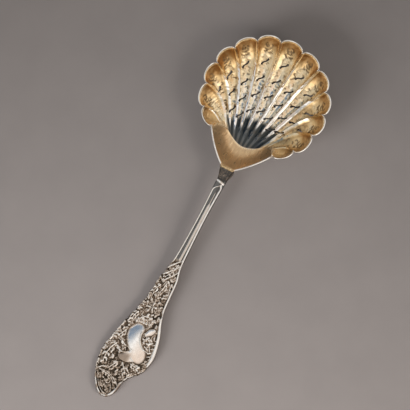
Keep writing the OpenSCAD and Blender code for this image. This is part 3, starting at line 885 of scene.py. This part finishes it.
# Carved leaves: start, bend and tip as shares of the end's length and width, then the greatest radius
CARVING = (
    ((0.96, -0.03), (0.89, -0.02), (0.83, 0.17), 1.5),
    ((0.84, -0.01), (0.78, 0.01), (0.72, 0.065), 1.2),
    ((0.8, 0.1), (0.765, 0.16), (0.72, 0.2), 1.5),
    ((0.83, -0.09), (0.78, -0.11), (0.73, -0.155), 1.4),
    ((0.55, 0.14), (0.605, 0.015), (0.55, -0.11), 1.3),
    ((0.58, 0.24), (0.545, 0.31), (0.5, 0.27), 1.5),
    ((0.605, -0.18), (0.595, -0.2), (0.575, -0.235), 1.2),
    ((0.46, 0.26), (0.42, 0.31), (0.365, 0.415), 1.8),
    ((0.47, -0.05), (0.385, -0.08), (0.37, -0.31), 1.2),
    ((0.455, -0.15), (0.445, -0.22), (0.42, -0.31), 1.4),
    ((0.33, 0.29), (0.29, 0.18), (0.325, 0.045), 1.2),
    ((0.37, 0.255), (0.345, 0.135), (0.345, 0), 1),
    ((0.34, 0.33), (0.26, 0.48), (0.155, 0.36), 2),
    ((0.245, 0.045), (0.21, -0.06), (0.175, -0.13), 1.6),
    ((0.235, 0.135), (0.2, 0.21), (0.155, 0.275), 1.6),
    ((0.26, -0.12), (0.255, -0.23), (0.25, -0.31), 1.5),
    ((0.14, 0.32), (0.15, 0.1), (0.08, -0.045), 1.4),
)
FLOWER_AT = np.array([51.5, 0.8])
PETALS = ((55.9, 3.7), (56.6, 1.1), (55.9, -1.7), (52.8, -3.2), (49.6, -2.7), (49, -0.2), (48.6, 2.7),
          (51, 4.7), (53.6, 4.9))
# Rings of petals: reach as a share, radius at the tip, height
PETAL_RINGS = ((0.85, 0.95, 0.6), (0.5, 0.6, 0.85))
# Polished borders along the right and left edges: distance from the tip, half width
BORDER = ((0, 0.6), (4, 0.7), (10, 0.6), (11.5, 0), (22.5, 0), (23.5, 0.5), (26, 0.9), (30, 1.05), (35, 1),
          (40, 0.9), (47.5, 0.65), (49.3, 0.35), (50.2, 0.35), (51.5, 0.6), (60, 0.65), (70, 0.6), (78, 0.5))
LEFT_BORDER = ((0, 0.6), (5, 0.5), (9, 0.4), (11, 0), (76, 0), (77.5, 0.45), (200, 0.5))
# Where the ornament is brighter or duller: distance from the tip, place across, radius, amount
RUBBED = ((33, -7.5, 4.5, -0.2), (42, 2, 5, -0.22), (30, 9, 4.5, -0.12), (62, 2, 6, -0.08), (75, 0, 5, -0.15),
          (8, 4, 8, 0.15), (49, -6, 4, 0.12))
# Heights of the ground, its relief and the edge, the edge's radius, and the ground's grain
GROUND = 1.7
RELIEF = 1.1
EDGE_H = 0.9
EDGE_R = 0.5
GRAIN = 0.42
# Leaves: points of the midrib, half width as a share, and the step and radii of their lobes
LEAF_POINTS = 24
LEAF_W = 1.1
LEAF_STEP = 2.4
LEAF_RADII = (0.65, 0.8, 0.42)
# Sprigs: step, turns of the three leaves, and their radii
SPRIG_STEP = 2.1
SPRIG_TURNS = (-0.8, 0, 0.8)
SPRIG_RADII = (0.45, 0.85, 0.5)
SPRIG_PLACES = [np.array([u, y]) for u in np.arange(1, 77, SPRIG_STEP)
                for y in np.arange(-12, 14, SPRIG_STEP)]


def leaf(field, u, y, row):
    """Carved leaf with a raised midrib and a row of pointed lobes along each side."""
    a, b, c = (np.array(p) * [END_LEN, END_W] for p in row[:3])
    q = np.linspace(0, 1, LEAF_POINTS)[:, None]
    path = a * (1 - q) ** 2 + b * 2 * q * (1 - q) + c * q**2
    half_w = LEAF_W * row[3]
    height = RELIEF * rng.uniform(0.85, 1)
    length = np.linalg.norm(np.diff(path, axis=0), axis=-1).sum()
    lobes = max(3, round(length / LEAF_STEP))
    for k in range(lobes):
        q = (k + 0.3) / lobes
        i = int(q * (len(path) - 3))
        along = unit(path[i + 2] - path[i])
        width = half_w * math.sin(math.pi * (0.2 + 0.7 * q))
        for side in (-1, 1):
            out = np.array([-along[1], along[0]]) * side
            reach = width * rng.uniform(0.75, 1.3)
            tip = path[i] + reach * (0.85 * out + rng.uniform(0.4, 1.2) * along)
            bend = path[i] + reach * (0.6 * out + 0.2 * along)
            stroke(field, u, y, [path[i], bend, tip], LEAF_RADII, height * rng.uniform(0.5, 1.0))
    stroke(field, u, y, path[::6], (0.5, 0.3), height)


def raised(u, y, rows):
    """Field of strokes: path, radii and share of the relief's height."""
    field = np.zeros(u.shape)
    for path, radii, height in rows:
        stroke(field, u, y, path, radii, height * RELIEF)
    return field


def small_forms():
    """Curls, buds, the flower and a scatter of sprigs between the larger forms."""
    for at in CURLS:
        yield [(at, -8.5), (at + 0.6, -9.6), (at - 0.2, -10.3), (at - 1.1, -9.9)], (0.3, 0.26), 0.8
    for u, y, radius, height in BUDS:
        yield [(u, y)], (0.8 * radius, 0.8 * radius), height
    yield [FLOWER_AT], (0.45, 0.45), 0.6
    for ring, (reach, radius, height) in enumerate(PETAL_RINGS):
        for petal in PETALS[ring::ring + 1]:
            out = (petal - FLOWER_AT) * reach
            yield [FLOWER_AT + q * out for q in (0.25, 0.65, 1)], (0.3, radius), height
    for place in SPRIG_PLACES:
        root = place + rng.uniform(-0.5, 0.5, 2) * SPRIG_STEP
        middle_leaf = rng.uniform(0, 2 * math.pi)
        reach = rng.uniform(1.2, 2.6)
        height = rng.uniform(0.25, 0.65)
        for spread in SPRIG_TURNS:
            a = middle_leaf + spread
            bend = root + 0.55 * reach * heading(a - 0.35)
            yield [root, bend, root + reach * heading(a)], SPRIG_RADII, height


def end_relief(u, y):
    """Height of the ornament above its ground, and the place of the polished cartouche, from 0 to 1."""
    parts = []
    for path, radii, crown in CARTOUCHE:
        part = np.zeros(u.shape)
        stroke(part, u, y, path, radii, 1, power=crown)
        parts.append(blurred(part, 3))
    plateau = np.maximum.reduce(parts)
    lean = (np.stack([u, y], axis=-1) - CARTOUCHE_MID) @ CARTOUCHE_LEAN * smooth(parts[0])
    swell = blurred(plateau, 2) * (CARTOUCHE_H - CARTOUCHE_BEND * lean**2)
    field = np.zeros(u.shape)
    for row in CARVING:
        leaf(field, u, y, row)
    over_cartouche = raised(u, y, [(path, ends, height) for path, *ends, height in SCROLLS])
    field = np.maximum.reduce([field, over_cartouche, raised(u, y, small_forms())])
    field = mix(field, np.minimum(field, over_cartouche), rise(plateau, 0.45, 0.3))
    return np.maximum(swell, field), plateau


# Stem: its fillets, larger on the right, lean and close in an arch
ARCH = (119.5, 4.5)
ARCH_LEAN = 0.4
ARCH_END = 124
FILLET_R = (0.62, 0.46)
FILLET_INSET = 0.09
# Centre rib: radius, start, end, and the lengths over which it comes and goes
RIBS = ((0.8, 78, 113, 1.5, 2), (0.3, 111, 120, 2, 2))
RIB_OFF = 0.3
# Collar: place, lean, half length and how much it falls to the sides
COLLAR = (125.2, 0.2, 0.95, 0.5)
# Heights above the channel
FILLET_H = 0.75
OUTSIDE_H = 0.3
RIB_H = 0.6


def stem_form(u, y, half_w):
    """Height of the stem: two fillets, a sunk channel, a centre rib and a collar."""
    closing = rise(u, *ARCH)
    leaning = y + ARCH_LEAN * half_w * closing
    fillet_r = mix(*FILLET_R, smooth(leaning / 0.6 + 0.5))
    fillet_at = (half_w - fillet_r - FILLET_INSET) * (1 - closing**2)
    a = np.abs(leaning)
    bead = dome((a - fillet_at) / fillet_r, 4) * (u < ARCH_END)
    outside = smooth((a - fillet_at) / 0.3 + 0.5)
    rib_r = sum(span(u, *row) for row in RIBS)
    rib = dome((y + RIB_OFF) / np.maximum(rib_r, 0.01), 4) * (rib_r > 0.05)
    place, lean, reach, drop = COLLAR
    along = (u - place - lean * y) / reach
    collar = np.sqrt(np.maximum(0, 1 - along**2 - drop * (y / half_w) ** 2))
    low = STEM_T - FILLET_H
    return np.maximum.reduce([low + OUTSIDE_H * outside, low + FILLET_H * bead,
                              low + RIB_H * rib * (1 - outside), low + collar])


# Grid of the handle: rows are closer in the end and in the stem's arch, columns near the edges
TOP_COLS = 121
UNDER_COLS = 17
EDGE_CROWDING = 0.85
# Rows: start, end and step of each run
ROW_RUNS = ((0.2, 82, 0.2), (82.1, 118.5, 0.5), (118.5, STEM_END, 0.13))
FIRST_ROWS = (0, 0.05)
# Start and length of the turn from end to stem
BLEND = (77.5, 3)
BORDER_H = 0.95
STEM_EDGE = 0.6
# Tip: length of its rounding, height at the very end as a share, and rise of the underside there
NOSE = 0.8
NOSE_H = 0.45
NOSE_UNDER = 0.3
CREST_BLUR = 36

rows_u = np.hstack([FIRST_ROWS, *(np.arange(*run) for run in ROW_RUNS), [STEM_END]])
top_w = np.linspace(-1, 1, TOP_COLS)
top_w = np.sign(top_w) * np.abs(top_w) ** EDGE_CROWDING
under_w = np.linspace(1, -1, UNDER_COLS)
U, W = np.meshgrid(rows_u, top_w, indexing="ij")
left_u, right_u = left_at(U), right_at(U)
Y = mix(-right_u, left_u, (W + 1) / 2)
relief, plateau = end_relief(U, Y)
from_right = (Y + right_u) / np.hypot(1, np.gradient(right_u, rows_u, axis=0))
from_left = (left_u - Y) / np.hypot(1, np.gradient(left_u, rows_u, axis=0))
cartouche = rise(plateau, 0.7, 0.25)
polished = cartouche
for from_edge, keys in ((from_right, BORDER), (from_left, LEFT_BORDER)):
    half_band = np.maximum(np.interp(U, *zip(*keys)), 0.01)
    band = dome(from_edge / half_band - 1, 6) * rise(half_band, 0, 0.3)
    relief = np.maximum(relief, BORDER_H * RELIEF * band)
    polished = np.maximum(polished, rise(band, 0, 0.5))
grain = blurred(np.random.default_rng(13).uniform(-1, 1, U.shape), 2)
relief = relief + GRAIN * grain * (1 - polished)
rounding = rounded(np.minimum(from_right, from_left), EDGE_R)
end_top = EDGE_H + (GROUND + relief - EDGE_H) * rounding
stem_share = rise(U, *BLEND)
stem_mid = (left_u - right_u) / 2
stem_top = stem_form(U, Y - stem_mid, (left_u + right_u) / 2)
stem_top = EDGE_H + STEM_EDGE + (stem_top - EDGE_H - STEM_EDGE) * rounding
height = mix(end_top, stem_top, stem_share) * mix(NOSE_H, 1, rounded(U, NOSE))
TIP_X = handle_lo.x / MM
top = stacked(TIP_X + U, Y, under_z(U) + height)

# Dirt in the ornament's hollows, on its low ground and round the cartouche, whose left arm is duller; the
# border at the tip is darker in patches
HOLLOW_DIRT = 0.8
GROUND_DIRT = 0.18
MOAT_DIRT = 0.3
HOLLOW_MOST = 0.92
DIRT_MOST = 0.95
ARM_DULL = 0.5
TIP_PATCHES = 0.45
# The stem: a duller rib, a duller neck, and painted dark reflection on the neck and in the channel, where
# there is also tarnish
NECK_FROM = (125.9, 0.5)
NECK_DULL_AND_DARK = 0.35
RIB_DULL = 0.16
BARE_DIRT = 0.02
CHANNEL_TARNISH_AND_REFLECTION = 0.9
NECK_DARK_REFLECTION = 0.95
crest = rise(height - blurred(height, CREST_BLUR), -0.14, 0.38)
low_ground = 1 - rise(relief, 0.1, 0.6)
moat = rise(plateau, 0, 0.2) * (1 - cartouche)
hollow = HOLLOW_DIRT * (1 - crest) + GROUND_DIRT * low_ground + MOAT_DIRT * moat
recess = np.clip(hollow, 0, HOLLOW_MOST) * (1 - polished)
for at_u, at_y, radius, amount in RUBBED:
    recess += amount * np.exp(-((U - at_u) ** 2 + (Y - at_y) ** 2) / radius**2) * (1 - polished)
recess = np.clip(recess, 0, DIRT_MOST)
recess += ARM_DULL * (rise(Y, -2.4, 3.2) * fall(U, 26.4, 3) * cartouche)
recess += TIP_PATCHES * smooth(np.sin(1.9 * Y + 0.7)) * (1 - rise(U, 8, 3)) * polished
neck_dark = rise(U, *NECK_FROM)
channel = 1 - rise(stem_top - STEM_T, -0.45, 0.3)
rib_dull = RIB_DULL * fall(np.abs(Y - stem_mid + 0.5), 0.75, 0.3)
recess = mix(recess, np.maximum(NECK_DULL_AND_DARK * neck_dark, rib_dull), stem_share) + BARE_DIRT
stem_tarnish_and_dark_reflection = mix(0, np.maximum(CHANNEL_TARNISH_AND_REFLECTION * channel, NECK_DARK_REFLECTION * neck_dark), stem_share)

# Underside, plain and a little dull
UNDER_DULL = 0.12
UU, UW = np.meshgrid(rows_u, under_w, indexing="ij")
under_y = mix(-right_at(UU), left_at(UU), (UW + 1) / 2)
edge_rise = EDGE_LIFT * np.maximum(0, np.abs(UW) - UNDER_FLAT) / (1 - UNDER_FLAT)
under = stacked(TIP_X + UU, under_y, under_z(UU) + edge_rise + NOSE_UNDER * (1 - rounded(UU, NOSE)))
rings = np.hstack([top, under])
recess = np.hstack([recess, np.full(under.shape[:2], UNDER_DULL)])
stem_tarnish_and_dark_reflection = np.hstack([stem_tarnish_and_dark_reflection, np.zeros(under.shape[:2])])

# Neck and tongue: the stem's section climbs to the bowl's edge, then runs down under the heel
NECK_ROWS = 28
TONGUE_ROWS = 9
NECK_SCRATCH = 0.16
# The neck's top is duller and darker, streaked with painted dark reflection
NECK_DULL = 0.48
NECK_REFLECTION_MEAN = 0.95
NECK_REFLECTION_SPREAD = 2.2
NECK_REFLECTION_LEAST = 0.05
neck_t = top_w * NECK_T


def seat_pt(t, v):
    """Point of the tongue's upper face, under the bowl and its film of solder."""
    return outer_pt(t, v) + FILM * skin_normal(t, v) + bowl_shift


def tongue_ring(q):
    """Section of the tongue at a share q of its length."""
    v = np.full(TOP_COLS, q * TONGUE_SHARE)
    over = seat_pt(neck_t, v)
    depth = mix(TONGUE_TIP, TONGUE_T, (1 - q) ** 2)
    below = seat_pt(under_w * NECK_T, v[:UNDER_COLS]) - [0, 0, depth]
    return np.vstack([over, below])


step_top = inner_pt(neck_t, np.zeros(TOP_COLS)) + bowl_shift - [FILM, 0, 0]
step_under = tongue_ring(0)[TOP_COLS:] - [FILM + NECK_DIP, 0, 0]
step_ring = np.vstack([step_top, step_under])
neck_rings = []
for k in range(1, NECK_ROWS):
    q = k / NECK_ROWS
    ease = smooth(q)
    neck_rings.append(mix(rings[-1], step_ring, np.array([q, ease, ease])))
scratches = blurred(rng.uniform(-1, 1, (NECK_ROWS - 1, TOP_COLS)), 1)
for ring, row in zip(neck_rings, scratches):
    ring[:TOP_COLS, 2] += NECK_SCRATCH * row
tongue_rings = [tongue_ring(q) for q in np.linspace(0, 1, TONGUE_ROWS)]
extra = np.array(neck_rings + [step_ring] + tongue_rings)
rings = np.vstack([rings, extra])
streaks = blurred(rng.uniform(-1, 1, extra.shape[:2]), 1)
neck_top = np.zeros(extra.shape[:2])
neck_top[:NECK_ROWS, :TOP_COLS] = 1
recess = np.vstack([recess, UNDER_DULL + NECK_DULL * neck_top])
stem_tarnish_and_dark_reflection = np.vstack([stem_tarnish_and_dark_reflection, np.clip(NECK_REFLECTION_MEAN + NECK_REFLECTION_SPREAD * streaks, NECK_REFLECTION_LEAST, 1) * neck_top])

index = np.arange(rings.shape[0] * rings.shape[1]).reshape(rings.shape[:2])
closed = np.hstack([index, index[:, :1]])
handle_faces = grid_faces(closed, flip=True) + [index[0].tolist(), index[-1][::-1].tolist()]
handle = mesh_object("handle_piece", rings.reshape(-1, 3), handle_faces, [silver])
store(handle.data, "recess", recess.ravel())
store(handle.data, "stem_tarnish_and_dark_reflection", stem_tarnish_and_dark_reflection.ravel())

# Solder: a film under the heel, with a lumpy strip on the neck along the bowl's edge
SEAM_COLS = 41
SEAM_ROWS = 10
# The strip: distance behind the lip, depth below it, height above it and the height of its lumps
STRIP = ((1.5, 0.5, 0, 0.3), (1.1, 0.5, 0.2, 0.5), (0.7, 0.5, 0.3, 0.7), (0.3, 0.4, 0.3, 0.5),
         (FILM, 0, 0.12, 0.2))
LUMPS = 15
LUMP_BACK = 0.3
SEAM_DULL = 0.9
seam_t = np.linspace(-1, 1, SEAM_COLS) * NECK_T
seam_v = np.linspace(0, TONGUE_SHARE, SEAM_ROWS)
ST, SV = np.meshgrid(seam_t, seam_v)
bowl_side = outer_pt(ST, SV) + bowl_shift
tongue_side = seat_pt(ST, SV)
lip = inner_pt(seam_t, np.zeros(SEAM_COLS)) + bowl_shift
low_rows, high_rows = [], []
for back, deep, over, lump in STRIP:
    lumps = np.interp(np.arange(SEAM_COLS), np.linspace(0, SEAM_COLS - 1, LUMPS), rng.random(LUMPS))
    low_rows.append(lip - [back, 0, deep])
    high_rows.append(lip + stacked(-back - LUMP_BACK * lumps, 0, over + lump * lumps))
low_side = np.vstack([low_rows, tongue_side])
high_side = np.vstack([high_rows, bowl_side])
seam_grid = np.arange(low_side.shape[0] * SEAM_COLS).reshape(-1, SEAM_COLS)
size = seam_grid.size
loop = np.vstack([ring_of(seam_grid), ring_of(seam_grid) + size])
loop = np.hstack([loop, loop[:, :1]])
seam_faces = grid_faces(seam_grid) + grid_faces(seam_grid + size, flip=True) + grid_faces(loop, flip=True)
seam_points = np.vstack([low_side.reshape(-1, 3), high_side.reshape(-1, 3)])
seam = mesh_object("solder_line", seam_points, seam_faces, [solder])
store(seam.data, "recess", rng.uniform(0, SEAM_DULL, 2 * size))

for piece, node, slot in ((bowl, "bowl_shell", "gilt_silver"), (handle, "handle", "silver"),
                          (seam, "solder_seam", "solder")):
    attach(piece, "root")
    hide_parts(node)

# Camera, floor and lights, laid out in the picture's own directions
VIEW_TURN = math.radians(27.669)
VIEW_RISE = math.radians(75.9)
VIEW_DISTANCE = 0.9
VIEW_TARGET = Vector((7.717, 2.548, 0)) * MM
FOCAL_PX = 1726.39
IMAGE_PX = 410
SENSOR = 36

view_up = Vector((math.cos(VIEW_TURN), math.sin(VIEW_TURN), 0))
view_right = Vector((math.sin(VIEW_TURN), -math.cos(VIEW_TURN), 0))
to_camera = -view_up * math.cos(VIEW_RISE) + Vector((0, 0, math.sin(VIEW_RISE)))

camera_data = bpy.data.cameras.new("camera")
camera_data.sensor_width = SENSOR
camera_data.lens = FOCAL_PX / IMAGE_PX * SENSOR
camera = placed("camera", camera_data)
camera_up = to_camera.cross(view_right)
turned = Matrix((view_right, camera_up, to_camera)).transposed().to_4x4()
camera.matrix_world = Matrix.Translation(VIEW_TARGET + to_camera * VIEW_DISTANCE) @ turned
bpy.context.scene.camera = camera

FLOOR_HALF = 1500
FLOOR_ROUGH = 0.85
FLOOR_CLOUDS = 40
FLOOR_TONES = [(0.3, (0.285, 0.258, 0.25)), (0.7, (0.305, 0.276, 0.267))]
floor_material = bpy.data.materials.new("floor")
tree = new_tree(floor_material)
tones = ramp(tree, noise(tree, FLOOR_CLOUDS, 3), FLOOR_TONES)
surface(tree, {"Roughness": FLOOR_ROUGH, "Base Color": tones})
floor_points = np.array([(x, y, 0) for x in (-1, 0, 1) for y in (-1, 0, 1)], float) * FLOOR_HALF
floor_faces = grid_faces(np.arange(9).reshape(3, 3), flip=True)
floor = mesh_object("floor", floor_points, floor_faces, [floor_material])

# Lamps for the floor, which the metal doesn't mirror: name, place and aim in metres to the right, up the
# picture and off the floor, size, power and colour
LAMP_SPREAD = math.radians(60)
LAMPS = (
    ("left_box", (-0.42, -0.36, 0.2), (-0.08, -0.09, 0), 0.35, 0.58, (1, 1, 1)),
    ("right_box", (0.42, -0.42, 0.32), (0.1, -0.25, 0), 0.4, 0.58, (1, 0.95, 0.9)),
)
for name, at, aim, size, power, color in LAMPS:
    data = bpy.data.lights.new(name, "AREA")
    data.shape = "SQUARE"
    data.size = size
    data.energy = power
    data.color = color
    data.spread = LAMP_SPREAD
    lamp = placed(name, data)
    place, target = (view_right * p[0] + view_up * p[1] + Vector((0, 0, p[2])) for p in (at, aim))
    lamp.location = place
    lamp.visible_glossy = False
    lamp.rotation_mode = "QUATERNION"
    lamp.rotation_quaternion = (target - place).to_track_quat("-Z", "Y")

# Soft patches of the sky: degrees from the zenith up and to the right in the picture, cosines of the
# angles where it is full and where it has gone, and colour
PATCHES = (
    (72, 0, 0.9, 0.55, (0.62, 0.6, 0.57)),
    (-66, 0, 0.92, 0.6, (0.6, 0.58, 0.55)),
    (0, 74, 0.92, 0.62, (1.1, 1.07, 1.03)),
    (0, -66, 0.93, 0.65, (0.72, 0.71, 0.69)),
    (-39, 34, 0.985, 0.91, (1.9, 1.81, 1.71)),
    (-48, -21, 0.985, 0.91, (1.9, 1.86, 1.82)),
    (-8, 8, 0.99, 0.94, (0.9, 0.74, 0.63)),
    (21, -14, 0.988, 0.963, (0.14, 0.22, 0.34)),
)
# Colour of the rest of the sky by height, and the share of the sky that lights the floor
SKY = [(0, (0.16, 0.155, 0.15)), (0.5, (0.13, 0.127, 0.124)), (0.8, (0.44, 0.436, 0.432)),
       (0.92, (0.86, 0.853, 0.846)), (1, (1.2, 1.19, 1.18))]
SKY_FILL = 0.34
world = bpy.data.worlds.new("studio")
bpy.context.scene.world = world
tree = new_tree(world)
coords = add_node(tree, "TexCoord", {}, "Generated")
color = ramp(tree, add_node(tree, "SeparateXYZ", {"Vector": coords}, "Z"), SKY)
for up, right, core, rim, tint in PATCHES:
    toward = view_up * math.sin(math.radians(up)) + view_right * math.sin(math.radians(right))
    toward.z = math.sqrt(1 - toward.length_squared)
    facing = add_node(tree, "VectorMath", {0: coords, 1: toward}, "Value", operation="DOT_PRODUCT")
    color = blended(tree, color, tint, ramp(tree, facing, [(rim, grey(0)), (core, grey(1))]))
# The metal mirrors the whole sky, and the floor takes less of it
rays = [add_node(tree, "LightPath", {}, ray) for ray in ("Is Camera Ray", "Is Glossy Ray")]
fill = math_node(tree, "MULTIPLY", math_node(tree, "MAXIMUM", *rays), 1 - SKY_FILL)
strength = math_node(tree, "ADD", fill, SKY_FILL)
light = add_node(tree, "Background", {"Color": color, "Strength": strength}, "Background")
add_node(tree, "OutputWorld", {"Surface": light})

bpy.context.scene.view_settings.view_transform = "Standard"
